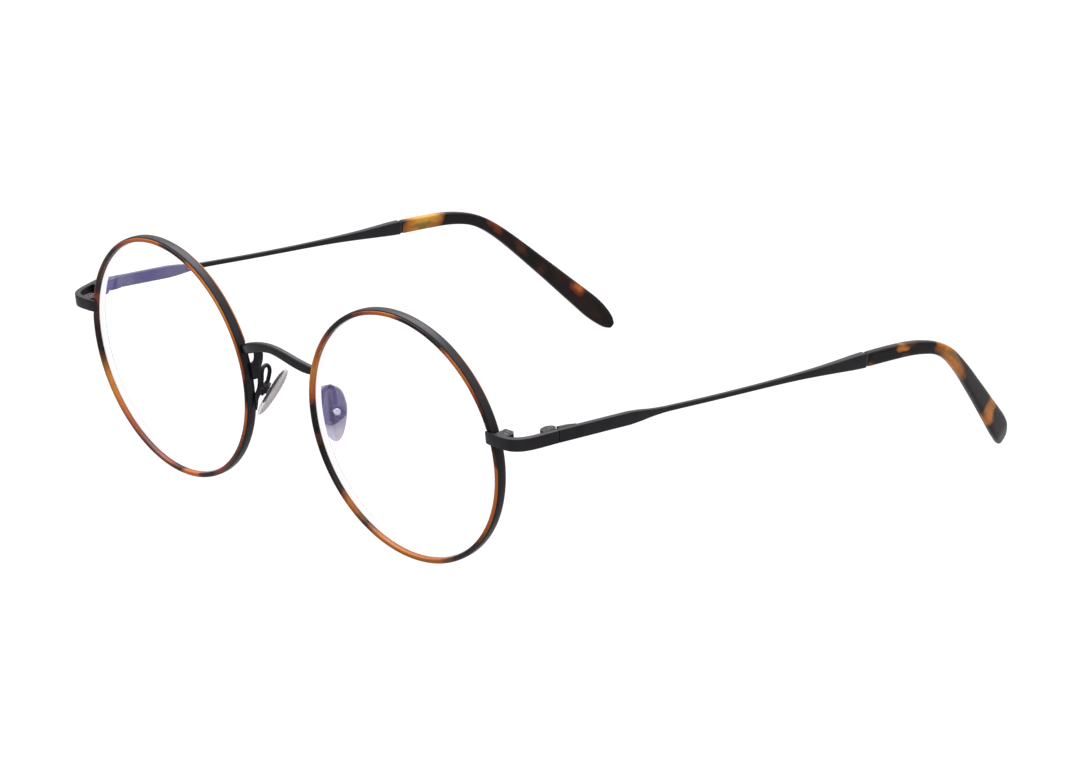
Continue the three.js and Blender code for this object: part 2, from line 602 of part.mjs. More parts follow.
pair('rim_band', rimBand(), blackMetal);
pair('rim_insert', rimInsert(), tortoise);
pair('lens', lens(), clearLens);
add('bridge', bridge(), blackMetal);
pair('pad_bracket', padBracket(), blackMetal);
pair('pad_arm', padArm(), blackMetal);
pair('pad_box', padBox(), blackMetal);
pair('pad_core', padCore(), brightMetal);
pair('nose_pad', nosePad(), softPad);
pair('endpiece', endpiece(), blackMetal);
pair('closing_block_upper', upperBlock(), blackMetal);
pair('closing_block_lower', lowerBlock(), blackMetal);
pair('rim_screw', rimScrew(), brightMetal);
pair('hinge_front_leaf', hingeFrontLeaf(), blackMetal);
pair('hinge_temple_leaf', hingeTempleLeaf(), blackMetal);
pair('hinge_screw', hingeScrew(), brightMetal);
pair('temple', temple(), blackMetal);
pair('temple_tip', templeTip(), tortoise);

// ---------- stand the frame on the rims and the temple ends ----------
// the tilt that puts the lowest point of the front and of the tips on one level
function tiltToRest() {
  const frontLimitY = 60;        // vertices ahead of this count as the front
  const front = [];
  const rear = [];
  for (const { geometry: { attributes: { position } } } of glasses.children) {
    for (let k = 0; k < position.count; k++) {
      const y = position.getY(k);
      (y < frontLimitY ? front : rear).push([y, position.getZ(k)]);
    }
  }
  let tilt = 0;
  for (let round = 0; round < 40; round++) {
    const sine = Math.sin(tilt);
    const cosine = Math.cos(tilt);
    const level = ([y, z]) => y * sine + z * cosine;
    const lowest = (points) =>
      points.reduce((best, point) => (level(point) < level(best) ? point : best));
    const [frontY, frontZ] = lowest(front);
    const [rearY, rearZ] = lowest(rear);
    tilt = Math.atan2(frontZ - rearZ, rearY - frontY);
  }
  return tilt;
}

glasses.rotation.x = tiltToRest();
const bounds = new THREE.Box3().setFromObject(glasses, true);
const middle = bounds.getCenter(vec());
glasses.position.set(-middle.x, -middle.y, -bounds.min.z);

const eyeglasses = new THREE.Group();
eyeglasses.add(glasses);
eyeglasses.updateMatrixWorld(true);
export default eyeglasses;
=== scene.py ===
import json
import math

import bmesh
import bpy
import numpy as np
from mathutils import Matrix, Vector


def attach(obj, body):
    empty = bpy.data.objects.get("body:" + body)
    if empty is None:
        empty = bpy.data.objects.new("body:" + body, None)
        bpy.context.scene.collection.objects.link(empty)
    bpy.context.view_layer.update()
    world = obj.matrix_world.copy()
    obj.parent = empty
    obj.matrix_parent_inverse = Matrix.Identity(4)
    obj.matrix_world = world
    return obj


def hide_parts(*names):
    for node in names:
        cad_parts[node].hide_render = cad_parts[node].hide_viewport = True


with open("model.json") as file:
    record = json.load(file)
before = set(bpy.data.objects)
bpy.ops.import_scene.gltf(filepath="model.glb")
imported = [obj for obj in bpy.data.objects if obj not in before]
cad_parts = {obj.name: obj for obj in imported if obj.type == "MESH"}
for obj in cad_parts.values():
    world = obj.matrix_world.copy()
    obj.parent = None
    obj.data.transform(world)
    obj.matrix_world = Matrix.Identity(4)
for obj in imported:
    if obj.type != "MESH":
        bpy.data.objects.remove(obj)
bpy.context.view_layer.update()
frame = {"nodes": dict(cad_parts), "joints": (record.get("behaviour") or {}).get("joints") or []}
NODES = frame["nodes"]
SIDES = ((1, "left"), (-1, "right"))


# ------------------------------------------------------------------ the front's own frame
def unit(v):
    v = np.asarray(v, float)
    return v / np.linalg.norm(v)


HINGE = np.array((66.72, 7.7, 5.6))   # left hinge in the front's frame
LENS_CENTRES = 69.78                  # distance between the lens centres
FACE_FORM = math.radians(2.0)         # each lens turned about its upright axis

# the left hinge's joint says how the front leans and where its frame sits
fold = next(j for j in frame["joints"] if j["name"] == "temple_left_fold")
fold_axis = unit(fold["axis"])
cos_lean, sin_lean = float(fold_axis[2]), float(-fold_axis[1])
LEAN = math.atan2(sin_lean, cos_lean)
TURN = np.array([[1, 0, 0], [0, cos_lean, -sin_lean], [0, sin_lean, cos_lean]])
ORIGIN = np.array(fold["pos_m"], float) * 1000 - TURN @ HINGE


def to_cad(points):
    return (np.asarray(points, float) @ TURN.T + ORIGIN) / 1000


def on_lens(points):
    """From the axes of a lens (y along its axis) to the left lens's place in the front."""
    x, y, z = np.asarray(points, float).T
    c, s = math.cos(FACE_FORM), math.sin(FACE_FORM)
    return np.stack([x * c - y * s + LENS_CENTRES / 2, x * s + y * c, z], 1)


# ------------------------------------------------------------------ curves
def run(points):
    """Distance travelled along a polyline, at each point."""
    steps = np.linalg.norm(np.diff(points, axis=0), axis=1)
    return np.concatenate([[0], np.cumsum(steps)])


def tangents(points):
    d = np.gradient(points, axis=0)
    return d / np.linalg.norm(d, axis=1)[:, None]


def hermite(x, y, slope, at):
    """Cubic through (x, y) with the given slopes; y may hold numbers or points."""
    i = np.clip(np.searchsorted(x, at) - 1, 0, len(x) - 2)
    h = x[i + 1] - x[i]
    t = (at - x[i]) / h
    if y.ndim == 2:
        h, t = h[:, None], t[:, None]
    return (y[i] * (1 + 2 * t) * (1 - t) ** 2 + slope[i] * h * t * (1 - t) ** 2
            + y[i + 1] * t * t * (3 - 2 * t) + slope[i + 1] * h * t * t * (t - 1))


def monotone(x, y, at):
    """Monotone cubic through (x, y)."""
    x, y, at = (np.asarray(q, float) for q in (x, y, at))
    h = np.diff(x)
    d = np.diff(y) / h
    slope = np.zeros_like(y)
    for k in range(1, len(x) - 1):
        if d[k - 1] * d[k] > 0:
            before, after = 2 * h[k] + h[k - 1], h[k] + 2 * h[k - 1]
            slope[k] = (before + after) / (before / d[k - 1] + after / d[k])
    slope[0], slope[-1] = d[0], d[-1]
    return hermite(x, y, slope, at)


def smooth_path(points, steps):
    """Evenly spaced smooth path through the points."""
    p = np.asarray(points, float)
    s = run(p)
    slope = np.zeros_like(p)
    slope[1:-1] = (p[2:] - p[:-2]) / (s[2:] - s[:-2])[:, None]
    slope[0], slope[-1] = (p[1] - p[0]) / s[1], (p[-1] - p[-2]) / (s[-1] - s[-2])
    trial = np.linspace(0, s[-1], 800)
    walked = run(hermite(s, p, slope, trial))
    even = np.interp(np.linspace(0, walked[-1], steps + 1), walked, trial)
    return hermite(s, p, slope, even)


def closed_curve(points, n):
    """Evenly spaced points on a smooth closed curve."""
    p = np.asarray(points, float)
    fine = []
    for i in range(len(p)):
        p0, p1, p2, p3 = p[i - 1], p[i], p[(i + 1) % len(p)], p[(i + 2) % len(p)]
        for t in np.linspace(0, 1, 24, endpoint=False):
            fine.append(0.5 * (2 * p1 + (p2 - p0) * t + (2 * p0 - 5 * p1 + 4 * p2 - p3) * t * t
                               + (3 * p1 - p0 - 3 * p2 + p3) * t ** 3))
    fine = np.vstack([fine, fine[:1]])
    s = run(fine)
    even = np.linspace(0, s[-1], n, endpoint=False)
    return np.stack([np.interp(even, s, fine[:, 0]), np.interp(even, s, fine[:, 1])], 1)


def densify(stations, steps):
    """Stations interpolated along the length, with the steps in each interval; and the lengths."""
    s = run(stations[:, :3])
    u = np.concatenate([np.linspace(s[k], s[k + 1], steps[k], endpoint=False)
                        for k in range(len(stations) - 1)] + [[s[-1]]])
    return np.stack([monotone(s, column, u) for column in stations.T], 1), u


# ------------------------------------------------------------------ sections
CORNER_STEPS = 4


def angles(n):
    return np.arange(n) * 2 * math.pi / n


def round_rect(width, height, radius):
    out = []
    for sx, sy, start in ((1, 1, 0), (-1, 1, 90), (-1, -1, 180), (1, -1, 270)):
        for k in range(CORNER_STEPS + 1):
            a = math.radians(start + 90 * k / CORNER_STEPS)
            out.append((sx * (width / 2 - radius) + radius * math.cos(a),
                        sy * (height / 2 - radius) + radius * math.sin(a)))
    return np.array(out)


def super_ellipse(width, height, n, power):
    """Power 1 is an ellipse; smaller is squarer."""
    a = (np.arange(n) + 0.5) * 2 * math.pi / n
    c, s = np.cos(a), np.sin(a)
    return np.stack([width / 2 * np.sign(c) * np.abs(c) ** power,
                     height / 2 * np.sign(s) * np.abs(s) ** power], 1)


def cut_corners(points, keep):
    p = np.asarray(points, float)
    q = np.roll(p, -1, axis=0)
    return np.stack([p * (1 - keep) + q * keep, p * keep + q * (1 - keep)], 1).reshape(-1, 2)


def across(section, point, direction, first=(1, 0, 0)):
    """Section across a direction at a point; its first axis stays close to first."""
    d = unit(direction)
    u = np.asarray(first, float)
    u = unit(u - d * (u @ d))
    return np.asarray(point) + section[:, :1] * u + section[:, 1:] * np.cross(u, d)


def turned(profile, turns):
    """An (r, y) profile at each angle about the y axis."""
    r, y = np.asarray(profile, float).T
    return np.stack([r * np.cos(turns)[:, None], np.repeat(y[None], len(turns), 0),
                     r * np.sin(turns)[:, None]], 2)


# ------------------------------------------------------------------ meshes: (vertices, faces)
def walls(rows, n, first=0, loop=False):
    """Quads between rows of n vertices."""
    faces = []
    for i in range(rows if loop else rows - 1):
        a, b = first + i * n, first + (i + 1) % rows * n
        faces += [(a + j, a + (j + 1) % n, b + (j + 1) % n, b + j) for j in range(n)]
    return faces


def loft(sections, loop=False):
    sections = np.asarray(sections, float)
    m, n, _ = sections.shape
    faces = walls(m, n, loop=loop)
    if not loop:
        faces.append(tuple(range(n - 1, -1, -1)))
        faces.append(tuple((m - 1) * n + j for j in range(n)))
    return sections.reshape(-1, 3), faces


def poled(rings, start, end):
    """Rings closed with a pole at each end."""
    m, n, _ = np.shape(rings)
    last, row = m * n + 1, 1 + (m - 1) * n
    faces = [(0, 1 + (j + 1) % n, 1 + j) for j in range(n)] + walls(m, n, first=1)
    faces += [(last, row + j, row + (j + 1) % n) for j in range(n)]
    return np.vstack([[start], np.reshape(rings, (-1, 3)), [end]]), faces


def add(name, mesh, body, node, materials, sharp, side=1, face_materials=None,
        attributes=None):
    """Builds a mesh in place of a CAD node; sharp is the angle above which an edge stays hard."""
    vertices, faces = np.array(mesh[0], float), [list(f) for f in mesh[1]]
    if side < 0:
        vertices = vertices * np.array([-1, 1, 1])
        faces = [f[::-1] for f in faces]
    me = bpy.data.meshes.new(name)
    me.from_pydata(to_cad(vertices).tolist(), [], faces)
    for m in materials:
        me.materials.append(m)
    if face_materials is not None:
        me.polygons.foreach_set("material_index", np.asarray(face_materials, np.int32))
    for key, values in (attributes or {}).items():
        at = me.attributes.new(key, "FLOAT", "POINT")
        at.data.foreach_set("value", np.asarray(values, np.float32))
    bm = bmesh.new()
    bm.from_mesh(me)
    bmesh.ops.recalc_face_normals(bm, faces=bm.faces)
    if bm.calc_volume(signed=True) < 0:
        bmesh.ops.reverse_faces(bm, faces=bm.faces)
    bm.to_mesh(me)
    bm.free()
    me.polygons.foreach_set("use_smooth", np.ones(len(me.polygons), bool))
    me.set_sharp_from_angle(angle=math.radians(sharp))
    me.update()
    ob = bpy.data.objects.new(name, me)
    bpy.context.scene.collection.objects.link(ob)
    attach(ob, body)
    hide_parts(node)


def keep(node, material, slot, width, segments=2):
    """A CAD node that stays, with softened edges (width in mm) and its own finish."""
    ob = NODES[node]
    me = ob.data
    me.materials.clear()
    me.materials.append(material)
    if "custom_normal" in me.attributes:
        me.attributes.remove(me.attributes["custom_normal"])
    me.polygons.foreach_set("use_smooth", np.ones(len(me.polygons), bool))
    weld = ob.modifiers.new("weld", "WELD")
    weld.merge_threshold = 2e-6
    planar = ob.modifiers.new("planar", "DECIMATE")
    planar.decimate_type = "DISSOLVE"
    planar.angle_limit = math.radians(2)
    bevel = ob.modifiers.new("edges", "BEVEL")
    bevel.width = width / 1000
    bevel.segments = segments
    bevel.limit_method = "ANGLE"
    bevel.angle_limit = math.radians(35)
    bevel.harden_normals = True


# ------------------------------------------------------------------ shader helpers
NOISE_SPAN = (0.3, 0.7)   # where most of a noise's values lie
FINE_BUMP = 0.00002       # depth of the finest relief, m


def srgb(*rgb):
    return tuple((c / 255 / 12.92) if c / 255 <= 0.04045 else ((c / 255 + 0.055) / 1.055) ** 2.4
                 for c in rgb) + (1.0,)


class Shader:
    """Node tree of a material or world; its helpers return output sockets."""

    def __init__(self, owner, output="OutputMaterial"):
        self.owner = owner
        owner.use_nodes = True
        self.tree = owner.node_tree
        self.tree.nodes.clear()
        self.output = self.new(output)

    def set(self, socket, value):
        if isinstance(value, bpy.types.NodeSocket):
            self.tree.links.new(value, socket)
        else:
            socket.default_value = value

    def new(self, kind, settings=None, **inputs):
        """A node with its settings, and its inputs by name."""
        node = self.tree.nodes.new("ShaderNode" + kind)
        for key, value in (settings or {}).items():
            setattr(node, key, value)
        for key, value in inputs.items():
            self.set(node.inputs[key.replace("_", " ")], value)
        return node

    def result(self, kind, *values, settings=None, **inputs):
        """First output of a node, with its first inputs in order or any by name."""
        node = self.new(kind, settings, **inputs)
        for socket, value in zip(node.inputs, values):
            self.set(socket, value)
        return node.outputs[0]

    def math(self, operation, a, b=0.0):
        return self.result("Math", a, b, 0.0, settings={"operation": operation})

    def noise(self, point, scale, detail=3.0, rough=0.55, distortion=0.0):
        return self.new("TexNoise", Vector=point, Scale=scale, Detail=detail, Roughness=rough,
                        Distortion=distortion).outputs["Fac"]

    def waver(self, point, amount, **noise):
        """Noise centred on nought."""
        centred = self.math("SUBTRACT", self.noise(point, **noise), 0.5)
        return self.math("MULTIPLY", centred, amount)

    def ramp(self, value, stops):
        node = self.new("ValToRGB")
        elements = node.color_ramp.elements
        while len(elements) > 1:
            elements.remove(elements[-1])
        elements[0].position, elements[0].color = stops[0]
        for position, colour in stops[1:]:
            elements.new(position).color = colour
        self.set(node.inputs[0], value)
        return node.outputs["Color"]

    def two_tone(self, value, low, high, span=NOISE_SPAN):
        return self.ramp(value, [(span[0], low), (span[1], high)])

    def mix(self, factor, a, b, blend="MIX"):
        node = self.new("Mix", {"data_type": "RGBA", "blend_type": blend})
        for i, value in ((0, factor), (6, a), (7, b)):
            self.set(node.inputs[i], value)
        return node.outputs[2]

    def remap(self, value, to, span=NOISE_SPAN):
        return self.result("MapRange", value, *span, *to)

    def bump(self, height, strength, distance=FINE_BUMP):
        return self.result("Bump", Strength=strength, Distance=distance, Height=height)

    def done(self, shader):
        self.set(self.output.inputs["Surface"], shader)
        return self.owner


def front_material(name):
    """A new material's shader, and its shading point in the front's own frame, mm."""
    t = Shader(bpy.data.materials.new(name))
    point = t.new("TexCoord").outputs["Object"]
    return t, t.result("Mapping", Vector=point, Scale=(1000, 1000, 1000),
                       Rotation=(-LEAN, 0, 0), Location=tuple(-(TURN.T @ ORIGIN)))


# ------------------------------------------------------------------ metals
def pad_core_metal():
    """Dark, dull metal of the pad's core plate."""
    t, p = front_material("pad_core_metal")
    fine = t.noise(p, scale=4.0, detail=4.0, rough=0.6)
    tone = t.two_tone(fine, srgb(36, 33, 42), srgb(54, 50, 62))
    return t.done(t.result("BsdfPrincipled", Base_Color=tone, Metallic=0.35,
                           Roughness=t.remap(fine, to=(0.42, 0.55)),
                           Normal=t.bump(fine, strength=0.1)))


def black_metal():
    """Dark plating: satin, slightly mottled, with a painted highlight that pales its convex edges.
    """
    t, p = front_material("plated_black")
    fine = t.noise(p, scale=9.0, detail=4.0, rough=0.6)
    wide = t.noise(p, scale=0.35, detail=3.0, rough=0.5)
    tone = t.two_tone(wide, srgb(38, 36, 39), srgb(49, 47, 51))
    speckle = t.two_tone(fine, srgb(32, 30, 33), srgb(60, 57, 62), span=(0.3, 0.72))
    tone = t.mix(0.35, tone, speckle)
    rough = t.math("ADD", t.remap(fine, to=(0.32, 0.4)), t.remap(wide, to=(-0.03, 0.04)))
    # painted highlight: convex edges, found by pointiness, are mixed towards a pale grey
    point = t.new("NewGeometry").outputs["Pointiness"]
    edge = t.remap(point, to=(0.0, 0.3), span=(0.55, 0.68))
    tone = t.mix(edge, tone, srgb(96, 94, 102))
    return t.done(t.result("BsdfPrincipled", Base_Color=tone, Metallic=0.8, Roughness=rough,
                           Normal=t.bump(fine, strength=0.12), Specular_IOR_Level=0.5))


def steel(name, low, high, rough):
    t, p = front_material(name)
    stretched = t.result("Mapping", Vector=p, Scale=(1, 1, 14))
    fine = t.noise(stretched, scale=5.0, detail=4.0, rough=0.6)
    return t.done(t.result("BsdfPrincipled", Base_Color=t.two_tone(fine, low, high), Metallic=0.9,
                           Roughness=t.remap(fine, to=(rough - 0.06, rough + 0.08)),
                           Normal=t.bump(fine, strength=0.15)))


METAL = black_metal()
SCREW = steel("screw_steel", low=srgb(150, 150, 156), high=srgb(190, 190, 196), rough=0.24)
DARK_SCREW = steel("screw_dark", low=srgb(66, 65, 70), high=srgb(92, 91, 96), rough=0.34)
CORE = pad_core_metal()

# ------------------------------------------------------------------ tortoise acetate
INK = srgb(18, 13, 14)
DARK = srgb(33, 22, 20)
BROWN = srgb(82, 46, 30)
RED = srgb(132, 60, 34)
ORANGE = srgb(178, 96, 36)
AMBER = srgb(194, 126, 48)
BURNT = srgb(164, 92, 28)
GLOW = srgb(206, 122, 42)
OLIVE = srgb(118, 98, 46)
STRAW = srgb(200, 156, 66)

TIP_SPAN = 72.0       # length of the tips' colour ramp, mm
TIP_SKEW = 2.2        # mm its bands shift from mid-height to the top
SPOT_EDGE = 1.9       # power of a spot's outline; 2 is an ellipse
SPOT_FADE = (0.15, 1.75)   # where a spot starts and ends its fade, 1 on the outline


def tip_attributes(t):
    """tip_s: mm along the tip; tip_c: -1 to 1 across its height."""
    return [t.new("Attribute", {"attribute_name": key}).outputs["Fac"]
            for key in ("tip_s", "tip_c")]


def add_spots(t, p, base, spots):
    """Soft patches with wavy outlines laid over the base colour."""
    along, height = tip_attributes(t)
    along_waver = t.waver(p, 4.5, scale=0.3, detail=1.0, rough=0.5)
    height_waver = t.waver(p, 0.9, scale=0.4, detail=1.0, rough=0.5, distortion=0.2)
    for s0, s1, c0, c1, skew, colour, power in spots:
        x = t.math("SUBTRACT", t.math("ADD", along, along_waver), (s0 + s1) / 2)
        x = t.math("DIVIDE", t.math("ADD", x, t.math("MULTIPLY", height, skew)), (s1 - s0) / 2)
        y = t.math("SUBTRACT", t.math("ADD", height, height_waver), (c0 + c1) / 2)
        y = t.math("DIVIDE", y, (c1 - c0) / 2)
        d = t.math("ADD", t.math("POWER", t.math("ABSOLUTE", x), SPOT_EDGE),
                   t.math("POWER", t.math("ABSOLUTE", y), SPOT_EDGE))
        base = t.mix(t.remap(d, to=(power, 0.0), span=SPOT_FADE), base, colour)
    return base


def tortoise(name, place, stops, length, mottle=0.5, spots=()):
    """Polished acetate: amber and red patches with soft edges in near-black, mottled inside.

    place(t, p) gives 0..1 along the piece; stops are (distance, colour) over the length.
    """
    t, p = front_material(name)
    base = t.ramp(place(t, p), [(d / length, colour) for d, colour in stops])
    if spots:
        base = add_spots(t, p, base, spots)
    vein = t.noise(p, scale=0.55, detail=5.0, rough=0.62, distortion=0.6)
    cloud = t.noise(p, scale=0.22, detail=3.0, rough=0.5, distortion=0.2)
    vein_mask = t.remap(vein, to=(0.0, mottle), span=(0.5, 0.72))
    base = t.mix(vein_mask, base, t.mix(0.55, base, INK))
    cloud_mask = t.remap(cloud, to=(0.0, 0.3), span=(0.55, 0.75))
    base = t.mix(cloud_mask, base, t.mix(0.35, base, RED))
    fine = t.noise(p, scale=6.0, detail=3.0, rough=0.5)
    relief = t.bump(t.noise(p, scale=1.1, detail=2.0), strength=0.06, distance=0.00005)
    return t.done(t.result(
        "BsdfPrincipled", Base_Color=base, Roughness=t.remap(fine, to=(0.24, 0.32)),
        Normal=relief, IOR=1.47, Subsurface_Weight=0.12, Subsurface_Radius=(1.0, 0.45, 0.2),
        Subsurface_Scale=0.0005, Specular_IOR_Level=0.2, Coat_Weight=0.04, Coat_Roughness=0.08))


def ring_angle(side):
    """0..1 round the ring: 0 at the temple side, a quarter at the top."""
    def place(t, p):
        xyz = t.new("SeparateXYZ", Vector=p).outputs
        x = t.math("SUBTRACT", t.math("MULTIPLY", xyz[0], float(side)), LENS_CENTRES / 2)
        a = t.math("DIVIDE", t.math("ARCTAN2", xyz[2], x), 2 * math.pi)
        # wavy patch borders, and a small shift from front to back
        wavy = t.waver(p, 0.03, scale=0.5, detail=3.0, rough=0.6)
        shift = t.math("MULTIPLY", xyz[1], 0.004)
        a = t.math("ADD", t.math("ADD", t.math("ADD", a, 1.0), wavy), shift)
        return t.math("FRACT", a)
    return place


def tip_place(t, p):
    """0..1 along the tip, with skewed and wavy bands."""
    along, height = tip_attributes(t)
    wavy = t.waver(p, 5.0, scale=0.42, detail=4.0, rough=0.6)
    s = t.math("ADD", t.math("ADD", along, t.math("MULTIPLY", height, TIP_SKEW)), wavy)
    return t.remap(s, to=(0.0, 1.0), span=(0.0, TIP_SPAN))


# ring colours: (degrees from the temple side over the top, colour)
RING_L = tortoise("acetate_ring_left", ring_angle(1), [
    (0, BROWN), (10, INK), (24, DARK), (32, RED), (39, ORANGE), (52, ORANGE), (59, DARK),
    (64, INK), (80, INK), (86, ORANGE), (96, ORANGE), (106, RED), (112, DARK), (118, INK),
    (130, DARK), (136, RED), (148, ORANGE), (156, AMBER), (166, ORANGE), (171, RED), (174, INK),
    (187, INK), (190, BROWN), (194, INK), (217, DARK), (224, BURNT), (236, DARK), (244, BURNT),
    (284, BURNT), (296, DARK), (312, DARK), (334, ORANGE)], length=360.0)
RING_R = tortoise("acetate_ring_right", ring_angle(-1), [
    (0, DARK), (14, BROWN), (19, RED), (23, DARK), (38, BROWN), (52, DARK), (60, RED),
    (71, ORANGE), (90, ORANGE), (97, DARK), (108, DARK), (114, ORANGE), (135, AMBER),
    (156, ORANGE), (170, RED), (176, INK), (184, DARK), (190, ORANGE), (206, RED), (216, BROWN),
    (236, RED), (243, INK), (252, DARK), (256, ORANGE), (266, ORANGE), (270, DARK), (281, RED),
    (296, BROWN), (309, RED), (322, ORANGE), (336, AMBER), (349, DARK)], length=360.0)
# tip colours: (mm along, colour)
# spots: from and to in mm along, from and to across (-1..1), skew, colour, strength
TIP_L = tortoise(
    "acetate_tip_left", tip_place, [(0, INK), (30, INK), (36, DARK), (46, INK), (70, DARK)],
    length=TIP_SPAN, mottle=0.3, spots=[
        (-0.8, 1.8, -1.7, -0.4, 0.0, ORANGE, 0.7), (9.2, 12.2, 0.05, 1.0, 0.2, GLOW, 0.95),
        (10.5, 14.5, 0.4, 1.3, 0.3, BROWN, 0.7), (9.6, 12.4, -1.1, -0.4, 0.0, BROWN, 0.7),
        (21.8, 34.4, -1.9, 0.5, 2.2, GLOW, 0.95), (22.2, 29.0, 0.1, 1.9, 0.5, GLOW, 0.95),
        (24.5, 33.4, -0.35, 0.5, 2.0, OLIVE, 0.75), (29.5, 34.5, 0.45, 1.5, 0.5, BROWN, 0.6),
        (52.4, 57.4, -1.5, 0.6, 1.3, GLOW, 0.95), (52.4, 57.6, 0.1, 2.3, 1.3, GLOW, 0.95),
        (53, 56.4, 0.2, 1.0, 1.0, OLIVE, 0.5)])
TIP_R = tortoise(
    "acetate_tip_right", tip_place,
    [(0, INK), (20, INK), (30, DARK), (34, INK), (60, DARK), (70, INK)],
    length=TIP_SPAN, mottle=0.3, spots=[
        (0.7, 10.9, -2.8, 2.8, -1.3, GLOW, 0.97), (2.2, 9.8, -0.4, 1.5, -0.9, STRAW, 0.85),
        (2.6, 9.0, -0.7, 0.15, 0.0, OLIVE, 0.85), (27.0, 31.5, -0.3, 1.3, 0.5, RED, 0.6),
        (35.6, 39.4, -0.6, 0.7, 0.5, BROWN, 0.55), (44.0, 46.8, -1.3, -0.3, 0.0, BROWN, 0.5),
        (55.4, 59.4, 0.0, 1.1, 0.3, RED, 0.95), (56.3, 58.5, 0.3, 0.9, 0.2, ORANGE, 0.9)])


# ------------------------------------------------------------------ lens and pad materials
def lens_clear(name, low, high):
    """Clear, with a violet anti-reflection sheen that shows over dark things; the sheen is
    rendered reflection, and its strength wavering over the lens is a painted reflection.
    """
    t, p = front_material(name)
    # painted reflection: a wide noise varies the sheen's tint, standing in for changes in what the
    # lens reflects
    wide = t.noise(p, scale=0.12, detail=2.0, rough=0.5)
    tint = t.two_tone(wide, low, high, span=(0.42, 0.58))
    facing = t.new("LayerWeight", Blend=0.3).outputs["Facing"]
    edge = t.remap(facing, to=(0.9, 1.6), span=(0.0, 0.9))
    sheen = t.result("BsdfGlossy", Roughness=0.02, Color=t.mix(1.0, tint, edge, "MULTIPLY"))
    clear = t.result("BsdfTransparent", Color=(0.975, 0.977, 0.955, 1))
    return t.done(t.result("AddShader", clear, sheen))


def lens_edge(name, low, high, glow):
    """Ground bevel: frosted, and brightened by a painted glow, an emission share that stands in
    for the light it catches.
    """
    t, p = front_material(name)
    tone = t.two_tone(t.noise(p, scale=5.0, detail=3.0, rough=0.6), low, high)
    # painted highlight: glow is the share of emission mixed into the frosted diffuse
    frosted = t.result("BsdfDiffuse", Color=tone)
    return t.done(t.result("MixShader", glow, frosted, t.result("Emission", Color=tone)))


def silicone(name, clear, low, high, through):
    """Milky, see-through pad with an olive cast at its rim; clear is its share seen face on."""
    t, p = front_material(name)
    soft = t.noise(p, scale=0.35, detail=2.0, rough=0.5)
    fine = t.noise(p, scale=7.0, detail=3.0, rough=0.5)
    facing = t.new("LayerWeight", Blend=0.35).outputs["Facing"]
    rim = t.remap(facing, to=(0.0, 1.0), span=(0.5, 0.92))
    tone = t.two_tone(soft, low, high)
    tone = t.mix(t.math("MULTIPLY", rim, 0.75), tone, srgb(128, 124, 104))
    milky = t.result(
        "BsdfPrincipled", Base_Color=tone, Roughness=t.remap(fine, to=(0.3, 0.42)),
        Normal=t.bump(soft, strength=0.05), Subsurface_Weight=0.3,
        Subsurface_Radius=(1.0, 0.95, 0.9), Subsurface_Scale=0.0012, IOR=1.41)
    glass = t.result("BsdfTransparent", Color=through)
    share = t.remap(facing, to=(clear, 0.1), span=(0.35, 0.95))
    return t.done(t.result("MixShader", share, milky, glass))


# painted reflection: each lens gets its own sheen tint, the right one stronger, for the difference
# in what the two lenses reflect
LENS_L = lens_clear("lens_coated_left", low=(0.052, 0.046, 0.112, 1),
                    high=(0.064, 0.055, 0.125, 1))
LENS_R = lens_clear("lens_coated_right", low=(0.06, 0.052, 0.15, 1), high=(0.096, 0.09, 0.165, 1))
PAD = silicone("pad_silicone", clear=0.88, low=srgb(184, 178, 182), high=srgb(196, 191, 193),
               through=(0.94, 0.92, 0.93, 1))
PAD_FACE = silicone("pad_silicone_face", clear=0.12, low=srgb(200, 194, 198),
                    high=srgb(210, 205, 208), through=(0.88, 0.86, 0.87, 1))
# painted highlight: the front bevel glows at 0.7 emission, the back edge is pure white emission
EDGE = lens_edge("lens_ground_edge_painted_glow", low=srgb(196, 194, 204), high=srgb(222, 220, 230), glow=0.7)
EDGE_BACK = lens_edge("lens_back_edge_painted_glow", low=srgb(253, 253, 254), high=srgb(255, 255, 255),
                      glow=1.0)

# ------------------------------------------------------------------ eyewires and acetate rings
BAND_RADIUS = 25.6
SPLIT_HEIGHT, SPLIT_GAP = 5.72, 0.26   # the eyewire's split, on the temple side
BAND_STEPS, RING_STEPS = 288, 288
# closed profiles: (radius, y)
BAND_PROFILE = [
    (24.97, -1.2), (25.3, -1.2), (25.4, -1.185), (25.47, -1.13), (25.52, -1.03), (25.56, -0.85),
    (25.59, -0.55), (BAND_RADIUS, -0.25), (25.59, 0.05), (25.56, 0.35), (25.52, 0.53),
    (25.47, 0.63), (25.4, 0.685), (25.3, 0.7), (24.97, 0.7)]
RING_PROFILE = [
    (24.5, -1.05), (24.51, -1.28), (24.56, -1.4), (24.66, -1.47), (24.8, -1.5), (25.02, -1.5),
    (25.16, -1.48), (25.26, -1.42), (25.31, -1.34), (25.32, -1.25), (24.92, -1.25),
    (24.92, 0.75), (25.1, 0.75), (25.1, 0.98), (25.06, 1.12), (24.96, 1.21), (24.8, 1.25),
    (24.66, 1.24), (24.55, 1.18), (24.5, 1.06), (24.5, 0.88), (24.8, 0.2), (24.5, -0.44)]
# relief behind, where the pad bracket stands: nearer than x, between two heights
RELIEF_X, RELIEF_LOW, RELIEF_HIGH, RELIEF_FADE, RELIEF_Y = 16, -5.8, 8.7, 0.9, 0.8
# cut in front, where the endpiece lies over the lip
CUT_X, CUT_LOW, CUT_HIGH, CUT_Y = 40, 4.35, 7.25, -1.2


def eyewire():
    split = math.asin(SPLIT_HEIGHT / BAND_RADIUS)
    half_gap = SPLIT_GAP / 2 / BAND_RADIUS
    turns = np.linspace(split + half_gap, split - half_gap + 2 * math.pi, BAND_STEPS + 1)
    vertices, faces = loft(turned(BAND_PROFILE, turns))
    return on_lens(vertices), faces


